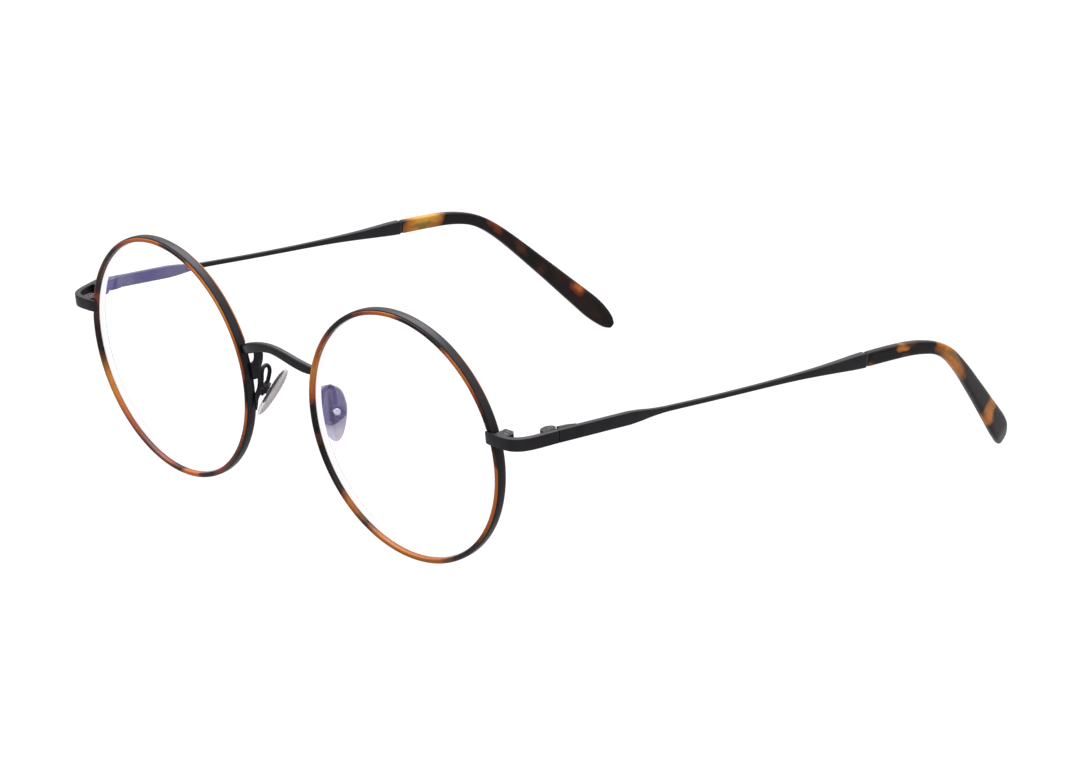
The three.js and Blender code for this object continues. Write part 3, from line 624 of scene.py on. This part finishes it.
def acetate_ring():
    vertices, faces = loft(turned(RING_PROFILE, angles(RING_STEPS)), loop=True)
    x, y, z = vertices.T
    x = x + LENS_CENTRES / 2
    cut = (x > CUT_X) & (z > CUT_LOW) & (z < CUT_HIGH)
    y = np.where(cut, np.maximum(y, CUT_Y), y)
    relief = np.where(x < RELIEF_X, np.clip((RELIEF_HIGH - z) / RELIEF_FADE, 0, 1)
                      * np.clip((z - RELIEF_LOW) / RELIEF_FADE, 0, 1), 0)
    relief = relief * relief * (3 - 2 * relief)
    vertices[:, 1] = np.where(y > RELIEF_Y, RELIEF_Y + (y - RELIEF_Y) * (1 - relief), y)
    return on_lens(vertices), faces


band_mesh, ring_mesh = eyewire(), acetate_ring()
for (side, name), acetate in zip(SIDES, (RING_L, RING_R)):
    add(f"eyewire_{name}", band_mesh, "front", f"rim_band_{name}", [METAL],
        sharp=40, side=side)
    add(f"acetate_ring_{name}", ring_mesh, "front", f"rim_insert_{name}",
        [acetate], sharp=50, side=side)

# ------------------------------------------------------------------ lenses
LENS_CURVE, LENS_THICK = 132.0, 1.5      # radius of both faces, centre thickness
LENS_EDGE, LENS_APEX = 24.4, 24.7        # radius of the faces and of the bevel's crest
LENS_EDGE_Y = -0.5                       # y of the front face's edge
LENS_STEPS, LENS_ROWS = 160, 14


def lens():
    """Meniscus with a bevelled rim; also the material index of each face."""
    def sag(r):
        return LENS_CURVE - np.sqrt(LENS_CURVE ** 2 - r ** 2)

    radii = LENS_EDGE * np.linspace(0, 1, LENS_ROWS + 1)[1:]
    front_y = LENS_EDGE_Y - sag(LENS_EDGE)
    back_y = front_y + LENS_THICK
    front = [(r, front_y + sag(r)) for r in radii]
    back = [(r, back_y + sag(r)) for r in radii[::-1]]
    rim = [(LENS_EDGE + 0.1, -0.27), (LENS_APEX - 0.02, 0.12), (LENS_APEX, 0.2),
           (LENS_APEX - 0.02, 0.28)]
    profile = front + rim + back
    n, m = LENS_STEPS, len(profile)
    vertices = turned(profile, angles(n)).swapaxes(0, 1).reshape(-1, 3)
    vertices = np.vstack([vertices, [[0, front_y, 0], [0, back_y, 0]]])
    faces = walls(m, n)
    for j in range(n):
        k = (j + 1) % n
        faces.append((m * n, k, j))
        faces.append((m * n + 1, (m - 1) * n + j, (m - 1) * n + k))
    rows = [0] * (len(front) - 1) + [1] + [2] * len(rim) + [0] * (len(back) - 1)
    return (on_lens(vertices), faces), np.repeat(rows, n).tolist() + [0] * (2 * n)


lens_mesh, lens_materials = lens()
for (side, name), coat in zip(SIDES, (LENS_L, LENS_R)):
    add(f"clear_lens_{name}", lens_mesh, "front", f"lens_{name}",
        [coat, EDGE, EDGE_BACK], sharp=25, side=side, face_materials=lens_materials)

# ------------------------------------------------------------------ bridge
BRIDGE_STEPS = 96
BRIDGE_CHAMFER, BRIDGE_END_SCALE = 0.09, 0.86
# centre line from the left end to the crown: (x, y, z)
BRIDGE_HALF = [(10.12, -0.75, 7.84), (9.3, -1.25, 8.12), (8.2, -1.68, 8.54), (6.6, -2.12, 9.16),
               (4.4, -2.4, 9.88), (2.2, -2.5, 10.38)]
BRIDGE_CROWN = (0, -2.52, 10.58)
# strip's section before its corners are cut: (back, up)
BRIDGE_SECTION = [(0.72, -0.62), (0.72, 0.45), (0.42, 0.82), (-0.42, 0.82), (-0.72, 0.45),
                  (-0.72, -0.62), (-0.45, -0.85), (0.45, -0.85)]


def bridge():
    section = cut_corners(cut_corners(BRIDGE_SECTION, keep=0.14), keep=0.25)

    def ring(point, direction, scale=1.0):
        # the strip is a little higher on each flank of the arch
        x = abs(point[0])
        high = 1 + 0.24 * min(1, x / 6.2) * min(1, max(0.15, (10.3 - x) / 2))
        return across(section * (scale, scale * high), point, direction, first=(0, 1, 0))

    right_half = [(-x, y, z) for x, y, z in BRIDGE_HALF[::-1]]
    path = smooth_path(BRIDGE_HALF + [BRIDGE_CROWN] + right_half, BRIDGE_STEPS)
    along = tangents(path)
    rings = [ring(path[0], along[0], BRIDGE_END_SCALE),
             ring(path[0] + along[0] * BRIDGE_CHAMFER, along[0])]
    rings += [ring(p, d) for p, d in zip(path[1:-1], along[1:-1])]
    rings += [ring(path[-1] - along[-1] * BRIDGE_CHAMFER, along[-2]),
              ring(path[-1], along[-1], BRIDGE_END_SCALE)]
    return loft(rings)


add("bridge_arch", bridge(), "front", "bridge", [METAL], sharp=30)

# ------------------------------------------------------------------ nose pads
# pad axes: side (towards the back), up, and out (away from the nose, towards the stud)
PAD_CENTRE = np.array([9.0, 3.9, -2.9])
PAD_UP = unit([-0.448, 0.352, 0.822])
PAD_SIDE = np.array([0.507, 0.858, -0.091])
PAD_SIDE = unit(PAD_SIDE - PAD_UP * (PAD_SIDE @ PAD_UP))
PAD_AXES = np.stack([PAD_SIDE, PAD_UP, np.cross(PAD_SIDE, PAD_UP)])
PAD_NOSE_Z, PAD_STUD_Z = -0.9, 0.74   # crowns of the pad's two faces
STUD_X, STUD_Y = 0.38, -0.6           # the stud's axis, in pad axes
PAD_POINTS, PLATE_POINTS, STUD_POINTS, CUP_POINTS = 88, 80, 48, 64

# outlines: (side, up)
PAD_OUTLINE = [
    (2.9, 0.7), (2.83, 2.0), (2.58, 3.3), (2.13, 4.35), (1.45, 5.02), (0.7, 5.36), (-0.1, 5.54),
    (-0.95, 5.58), (-1.65, 5.4), (-2.2, 4.92), (-2.62, 4.1), (-2.85, 2.8), (-2.92, 1.3),
    (-2.83, -0.2), (-2.62, -1.4), (-2.27, -2.6), (-1.87, -3.7), (-1.4, -4.7), (-0.8, -5.5),
    (-0.05, -5.84), (0.7, -5.52), (1.38, -4.7), (1.86, -3.65), (2.3, -2.3), (2.7, -0.7)]
PLATE_OUTLINE = [
    (2.55, -0.75), (2.7, 0.7), (2.62, 2.0), (2.38, 3.2), (1.94, 4.12), (1.32, 4.72),
    (0.64, 5.02), (-0.1, 5.18), (-0.92, 5.2), (-1.55, 5.02), (-2.04, 4.6), (-2.42, 3.85),
    (-2.64, 2.65), (-2.7, 1.3), (-2.64, -0.2), (-2.44, -1.4), (-1.95, -2.35), (-1.2, -2.8),
    (-0.4, -2.75), (0.5, -2.36), (1.3, -1.85), (2.05, -1.35)]
# share of the outline at each ring of a pad face
PAD_RINGS = np.array([0, 0.2, 0.4, 0.58, 0.72, 0.83, 0.9, 0.95, 0.98, 1.0])
# plate: (out, scale about PLATE_MIDDLE up the pad)
PLATE_MIDDLE = 1.2
PLATE_LEVELS = [(0.3, 0.93), (0.32, 0.95), (0.38, 0.97), (0.46, 0.975), (0.54, 0.97),
                (0.6, 0.95), (0.62, 0.93)]
# stud, between its two poles: (radius, out)
STUD_POLES = (0.68, 2.54)
STUD_PROFILE = [(0.98, 0.68), (0.98, 0.84), (0.9, 0.95), (0.78, 1.02), (0.74, 1.12),
                (0.74, 2.48), (0.71, 2.57), (0.62, 2.63), (0.4, 2.64), (0.36, 2.6), (0.3, 2.55)]
# cup wall: (0 at the round bore to 1 at the squarish outside, out)
CUP_BORE, CUP_WIDTH, CUP_HEIGHT = 0.95, 3.2, 2.8
CUP_PROFILE = [(0, 1.38), (0.1, 1.31), (0.2, 1.3), (0.8, 1.3), (0.93, 1.33), (1, 1.42),
               (1, 2.4), (0.94, 2.51), (0.8, 2.55), (0.2, 2.56), (0.08, 2.53), (0, 2.45)]
# wire from the bracket to the cup, in the front's frame: (x, y, z)
WIRE_DIAMETER, WIRE_STEPS = 0.84, 80
WIRE_PATH = [(9.0, 1.1, -0.85), (9.0, 1.18, -0.3), (9.05, 1.5, 0.8), (9.2, 1.84, 2.01),
             (9.4, 2.5, 2.76), (9.55, 3.47, 2.84), (9.65, 4.1, 2.11), (9.72, 4.14, 1.1)]
WIRE_END = (STUD_X - 0.05, STUD_Y + 1.6, 2.05)   # in pad axes
WIRE_SCALES = {0: 0.82, 1: 0.96, WIRE_STEPS - 1: 0.97, WIRE_STEPS: 0.88}   # rounded ends


def from_pad(points):
    return PAD_CENTRE + np.asarray(points, float) @ PAD_AXES


def level(outline, z):
    """A flat outline at a height."""
    return np.column_stack([outline, np.full(len(outline), z)])


def silicone_pad():
    outline = closed_curve(PAD_OUTLINE, PAD_POINTS)
    nose = PAD_NOSE_Z * (1 - PAD_RINGS ** 2.4) ** 0.6
    stud = PAD_STUD_Z * (1 - PAD_RINGS ** 9) ** 0.45
    rows = list(zip(PAD_RINGS, nose))[1:] + list(zip(PAD_RINGS, stud))[-2:0:-1]
    vertices, faces = poled([level(outline * r, z) for r, z in rows],
                            (0, 0, nose[0]), (0, 0, stud[0]))
    return from_pad(vertices), faces


def pad_plate():
    outline = closed_curve(PLATE_OUTLINE, PLATE_POINTS)
    middle = np.array([0, PLATE_MIDDLE])
    vertices, faces = loft([level((outline - middle) * k + middle, z) for z, k in PLATE_LEVELS])
    return from_pad(vertices), faces


def pad_stud():
    a = angles(STUD_POINTS)
    rings = [level(np.stack([STUD_X + r * np.cos(a), STUD_Y + r * np.sin(a)], 1), z)
             for r, z in STUD_PROFILE]
    start, end = ((STUD_X, STUD_Y, z) for z in STUD_POLES)
    vertices, faces = poled(rings, start, end)
    return from_pad(vertices), faces


def pad_cup():
    sections = []
    for outer in super_ellipse(CUP_WIDTH, CUP_HEIGHT, CUP_POINTS, power=0.72):
        bore = CUP_BORE * unit(outer)
        sections.append([(*((STUD_X, STUD_Y) + bore * (1 - q) + outer * q), z)
                         for q, z in CUP_PROFILE])
    vertices, faces = loft(sections, loop=True)
    return from_pad(vertices), faces


def pad_wire():
    path = smooth_path(WIRE_PATH + [tuple(from_pad(WIRE_END))], WIRE_STEPS)
    circle = super_ellipse(WIRE_DIAMETER, WIRE_DIAMETER, 24, power=1.0)
    return loft([across(circle * WIRE_SCALES.get(i, 1.0), p, d)
                 for i, (p, d) in enumerate(zip(path, tangents(path)))])


pad_mesh, plate_mesh, stud_mesh = silicone_pad(), pad_plate(), pad_stud()
cup_mesh, wire_mesh = pad_cup(), pad_wire()
half_faces = PAD_POINTS * (len(PAD_RINGS) - 1)
pad_materials = [1] * half_faces + [0] * half_faces   # the nose side is the milkier one
for side, name in SIDES:
    add(f"silicone_pad_{name}", pad_mesh, f"pad_{name}", f"nose_pad_{name}",
        [PAD, PAD_FACE], sharp=60, side=side, face_materials=pad_materials)
    add(f"pad_plate_{name}", plate_mesh, f"pad_{name}", f"pad_core_{name}",
        [CORE], sharp=40, side=side)
    add(f"pad_stud_{name}", stud_mesh, f"pad_{name}", f"pad_core_{name}",
        [SCREW], sharp=35, side=side)
    add(f"pad_cup_{name}", cup_mesh, "front", f"pad_box_{name}", [METAL],
        sharp=40, side=side)
    add(f"pad_wire_{name}", wire_mesh, "front", f"pad_arm_{name}", [METAL],
        sharp=45, side=side)
    keep(f"pad_bracket_{name}", METAL, "black_metal", width=0.11, segments=3)

# ------------------------------------------------------------------ endpieces
STRIP_HEIGHT = 2.5
STRIP_END_Y = HINGE[1] - 0.05
STRIP_LEAN = 0.12        # lean of the end face that meets the temple
STRIP_CHAMFER = 0.07     # depth of the chamfer there
# plan, station by station: outer x, y, inner x, y
STRIP_PLAN = np.array([
    (58.2, -0.85, 58.2, -0.44), (58.9, -1.03, 58.9, -0.48), (60.3, -1.2, 60.3, -0.62),
    (60.62, -1.2, 60.62, -0.05), (63.0, -1.2, 63.0, -0.05), (64.3, -1.02, 63.85, 0.08),
    (65.5, -0.52, 64.75, 0.45), (66.55, 0.4, 65.55, 1.15), (67.35, 1.7, 66.2, 2.15),
    (67.95, 3.3, 66.75, 3.5), (68.5, 5.4, 67.3, 5.5), (69.08, STRIP_END_Y, 67.88, STRIP_END_Y)])
BEND_START = 4           # straight between stations up to this one, curved after it
STRIP_STEPS = np.concatenate([[0, 0.12, 0.5, 1.0, 1.5, 2.0, 3.0, 3.05, 3.6],
                              np.linspace(BEND_START, len(STRIP_PLAN) - 1, 64)])


def endpiece():
    stations = np.arange(len(STRIP_PLAN), dtype=float)
    sections = []
    for u in STRIP_STEPS:
        if u <= BEND_START:
            plan = [np.interp(u, stations, column) for column in STRIP_PLAN.T]
        else:
            plan = [monotone(stations[BEND_START:], column[BEND_START:], [u])[0]
                    for column in STRIP_PLAN.T]
        outer, inner = np.array(plan[:2]), np.array(plan[2:])
        width = float(np.linalg.norm(outer - inner))
        normal, middle = (outer - inner) / width, (outer + inner) / 2
        z = 5.85 - 0.028 * max(0.0, outer[1] + 1.15)   # the strip falls towards the back
        lean = STRIP_LEAN if u >= stations[-1] else 0.0
        scale = {STRIP_STEPS[0]: 0.86, STRIP_STEPS[1]: 0.98}.get(u, 1.0)
        a, b = (round_rect(width, STRIP_HEIGHT, min(0.17, 0.3 * width)) * scale).T
        sections.append(np.stack([middle[0] + normal[0] * a,
                                  middle[1] + normal[1] * a + lean * b, z + b], 1))
    # a hairline chamfer where the strip meets the temple
    last = sections.pop()
    centre = last.mean(0)
    sections += [last - (0, STRIP_CHAMFER, 0), centre + (last - centre) * (0.94, 1, 0.965)]
    return loft(sections)


# CAD pieces that stay at each corner: name, material, slot, bevel width
KEPT = [("closing_block_upper", METAL, "black_metal", 0.07),
        ("closing_block_lower", METAL, "black_metal", 0.07),
        ("rim_screw", DARK_SCREW, "screw_steel", 0.03),
        ("hinge_front_leaf", METAL, "black_metal", 0.06),
        ("hinge_temple_leaf", METAL, "black_metal", 0.06),
        ("hinge_screw", DARK_SCREW, "screw_steel", 0.03)]
strip_mesh = endpiece()
for side, name in SIDES:
    add(f"endpiece_strip_{name}", strip_mesh, "front", f"endpiece_{name}",
        [METAL], sharp=30, side=side)
    for part, material, slot, width in KEPT:
        keep(f"{part}_{name}", material, slot, width)

# ------------------------------------------------------------------ temples and tips
# stations from front to back: x, y, z of the centre, width, height
BLADE = np.array([
    (68.5, 7.78, 5.6, 1.2, 2.5), (68.58, 26.2, 2.68, 1.2, 2.5), (68.62, 29.2, 2.2, 1.15, 2.1),
    (68.64, 31.2, 1.87, 1.05, 1.68), (68.66, 33.6, 1.48, 0.98, 1.28),
    (68.68, 36.4, 1.02, 0.95, 1.05), (68.74, 47.2, -0.86, 0.95, 0.98),
    (68.82, 60.3, -3.0, 0.95, 1.05), (68.88, 68.0, -4.2, 1.02, 1.22),
    (68.92, 73.5, -5.07, 1.14, 1.46), (68.96, 79.5, -6.04, 1.34, 1.9),
    (69.0, 85.0, -6.9, 1.56, 2.46), (69.03, 89.5, -7.58, 1.76, 2.92),
    (69.03, 91.6, -7.9, 1.82, 3.04)])
# end of the neck, a little way into the tip
NECK = np.array((69.03, 92.6, -8.06))
NECK_WIDTH, NECK_HEIGHT = 1.5, 2.5
TIP = np.array([
    (69.03, 92.44, -8.03, 1.7, 2.76), (69.03, 93.1, -8.13, 1.84, 2.96),
    (69.03, 97.0, -8.7, 1.9, 2.98), (69.03, 101.0, -9.34, 1.94, 2.96),
    (69.03, 104.6, -9.98, 1.96, 2.9), (69.03, 107.6, -10.68, 1.98, 2.82),
    (69.02, 110.2, -11.47, 1.98, 2.72), (68.92, 112.8, -12.44, 1.98, 2.66),
    (68.68, 115.6, -13.92, 1.98, 2.68), (68.25, 118.6, -16.14, 1.98, 2.78),
    (67.4, 121.9, -19.3, 1.98, 2.98), (66.4, 125.5, -23.2, 2.0, 3.3),
    (65.28, 129.0, -27.2, 2.0, 3.66), (64.15, 132.5, -31.2, 2.0, 4.05),
    (63.0, 136.0, -35.3, 2.0, 4.5), (61.85, 139.5, -39.35, 1.98, 4.95),
    (61.2, 141.4, -41.6, 1.94, 5.15), (60.66, 142.8, -43.3, 1.86, 4.95),
    (59.85, 144.1, -45.1, 1.7, 4.25), (59.15, 145.0, -46.5, 1.45, 3.2),
    (58.65, 145.55, -47.4, 1.0, 1.7)])
TIP_POINTS = 44


def temple_arm():
    """Blade, neck, and the wire core that runs inside the tip."""
    body, _ = densify(BLADE[1:], [8] * (len(BLADE) - 2))
    rows = np.vstack([BLADE[0], BLADE[0] + (BLADE[1] - BLADE[0]) * 0.004, body])
    along = tangents(rows[:, :3])
    along[0] = along[1] = (0, 1, -0.12)
    sections = []
    for k, (x, y, z, width, height) in enumerate(rows):
        # corners go from crisp to round where the blade narrows
        f = np.clip((y - 26.2) / 5.0, 0, 1)
        corner = (1 - f) * 0.16 + f * min(0.3, 0.23 * width)
        scale = (0.94, 0.965) if k == 0 else (1, 1)
        sections.append(across(round_rect(width, height, corner) * scale, (x, y, z), along[k]))
    # chamfered collar, then the neck
    end, d = rows[-1, :3], along[-1]
    core = round_rect(1.0, 1.0, 0.3)
    sections += [
        across(round_rect(1.72, 2.88, 0.36), end + 0.12 * (NECK - end), d),
        across(round_rect(NECK_WIDTH + 0.03, NECK_HEIGHT + 0.04, 0.34),
               end + 0.92 * (NECK - end), d),
        across(round_rect(NECK_WIDTH - 0.08, NECK_HEIGHT - 0.1, 0.34), NECK, d),
        across(core, NECK + d * 0.02, d)]
    inside = TIP[1:14]
    y = np.linspace(inside[0, 1], inside[-1, 1], 60)
    path = np.stack([monotone(inside[:, 1], inside[:, c], y) for c in range(3)], 1)
    sections += [across(core, p, d) for p, d in zip(path, tangents(path))]
    return loft(sections)


def temple_tip():
    """Hooked tip; also its tip_s and tip_c attributes."""
    rows, lengths = densify(TIP, [3] + [7] * (len(TIP) - 2))
    along = tangents(rows[:, :3])
    sections, tip_s, tip_c = [], [], []
    for (x, y, z, width, height), s, d in zip(rows, lengths, along):
        power = float(np.interp(y, (104, 124), (0.44, 0.58)))
        section = super_ellipse(width, height, TIP_POINTS, power)
        sections.append(across(section, (x, y, z), d))
        tip_s += [float(s)] * TIP_POINTS
        tip_c += (section[:, 1] / (height / 2)).tolist()
    # the rounded end closes over a small cap: (advance, scale)
    for advance, scale in ((0.12, 0.86), (0.2, 0.6), (0.235, 0.3)):
        section = super_ellipse(TIP[-1, 3] * scale, TIP[-1, 4] * scale, TIP_POINTS,
                                0.6 + 0.3 * (1 - scale))
        sections.append(across(section, rows[-1, :3] + along[-1] * advance, along[-1]))
        tip_s += [float(lengths[-1])] * TIP_POINTS
        tip_c += [0.0] * TIP_POINTS
    return loft(sections), {"tip_s": tip_s, "tip_c": tip_c}


arm_mesh = temple_arm()
tip_mesh, tip_values = temple_tip()
for (side, name), acetate in zip(SIDES, (TIP_L, TIP_R)):
    add(f"temple_arm_{name}", arm_mesh, f"temple_{name}", f"temple_{name}",
        [METAL], sharp=26, side=side)
    add(f"acetate_tip_{name}", tip_mesh, f"temple_{name}",
        f"temple_tip_{name}", [acetate], sharp=45, side=side, attributes=tip_values)

# ------------------------------------------------------------------ floor, world, light
# metres; low enough for the tips to stay above the floor when the temples are folded
FLOOR_Z, FLOOR_SIZE = -0.0235, 12


def floor():
    """Near white to the camera, darker to the light it bounces."""
    t = Shader(bpy.data.materials.new("studio_floor"))
    soft = t.noise(t.new("TexCoord").outputs["Object"], scale=3.0, detail=2.0)
    near = t.result("BsdfDiffuse", Color=t.two_tone(soft, (0.93, 0.93, 0.935, 1),
                                                    (0.95, 0.95, 0.953, 1)))
    seen = t.result("MixShader", 0.9, near, t.result("Emission", Color=(1, 1, 1, 1)))
    bounce = t.result("BsdfDiffuse", Color=t.two_tone(soft, (0.3, 0.3, 0.305, 1),
                                                      (0.34, 0.34, 0.345, 1)))
    camera_ray = t.new("LightPath").outputs["Is Camera Ray"]
    material = t.done(t.result("MixShader", camera_ray, bounce, seen))
    bpy.ops.mesh.primitive_plane_add(size=FLOOR_SIZE, location=(0, 0, FLOOR_Z))
    ob = bpy.context.active_object
    ob.name = "studio_floor_plane"
    ob.data.materials.append(material)


def studio_world():
    """Brighter overhead; plain white to the camera."""
    t = Shader(bpy.data.worlds.new("studio"), "OutputWorld")
    direction = t.new("TexCoord").outputs["Generated"]
    height = t.new("SeparateXYZ", Vector=direction).outputs[2]
    glow = t.remap(height, to=(0.24, 2.1), span=(0.0, 1.0))
    mix = t.new("Mix")
    t.set(mix.inputs[0], t.new("LightPath").outputs["Is Camera Ray"])
    t.set(mix.inputs[2], glow)
    t.set(mix.inputs[3], 1.0)
    return t.done(t.result("Background", Color=(1, 1, 1, 1), Strength=mix.outputs[0]))


def softbox(name, place, target, size, power):
    light = bpy.data.lights.new(name, "AREA")
    light.shape = "SQUARE"
    light.size = size
    light.energy = power
    ob = bpy.data.objects.new(name, light)
    bpy.context.scene.collection.objects.link(ob)
    ob.location = place
    ob.rotation_mode = "QUATERNION"
    ob.rotation_quaternion = (Vector(target) - Vector(place)).to_track_quat("-Z", "Y")


floor()
bpy.context.scene.world = studio_world()
softbox("key_softbox", place=(-0.25, 0.15, 0.75), target=(0, 0, 0.02), size=0.6, power=5.0)

# ------------------------------------------------------------------ camera
# in the front's own frame: degrees round from the front, above it and of roll; mm away
AZIMUTH, ELEVATION, ROLL = (math.radians(a) for a in (47.4859840939, 22.4602625474,
                                                      -5.0259956044))
DISTANCE = 719.06401663
SHIFT_RIGHT, SHIFT_UP = -49.6296791972, -1.1164753786   # the origin's place in view, mm
FOCAL_LENGTH, SENSOR_WIDTH = 122.5110076247, 36


def camera():
    back = np.array([math.sin(AZIMUTH) * math.cos(ELEVATION),
                     -math.cos(AZIMUTH) * math.cos(ELEVATION), math.sin(ELEVATION)])
    level_right = np.array([math.cos(AZIMUTH), math.sin(AZIMUTH), 0])
    level_up = np.cross(back, level_right)
    right = math.cos(ROLL) * level_right + math.sin(ROLL) * level_up
    up = -math.sin(ROLL) * level_right + math.cos(ROLL) * level_up
    data = bpy.data.cameras.new("camera")
    data.sensor_width = SENSOR_WIDTH
    data.sensor_fit = "HORIZONTAL"
    data.lens = FOCAL_LENGTH
    data.clip_start, data.clip_end = 0.01, 50
    ob = bpy.data.objects.new("camera", data)
    bpy.context.scene.collection.objects.link(ob)
    pose = np.eye(4)
    pose[:3, :3] = TURN @ np.stack([right, up, back], 1)
    pose[:3, 3] = to_cad(DISTANCE * back - SHIFT_RIGHT * right - SHIFT_UP * up)
    ob.matrix_world = Matrix(pose.tolist())
    bpy.context.scene.camera = ob


camera()
bpy.context.scene.view_settings.view_transform = "Standard"
bpy.context.scene.view_settings.look = "None"

bpy.context.view_layer.update()
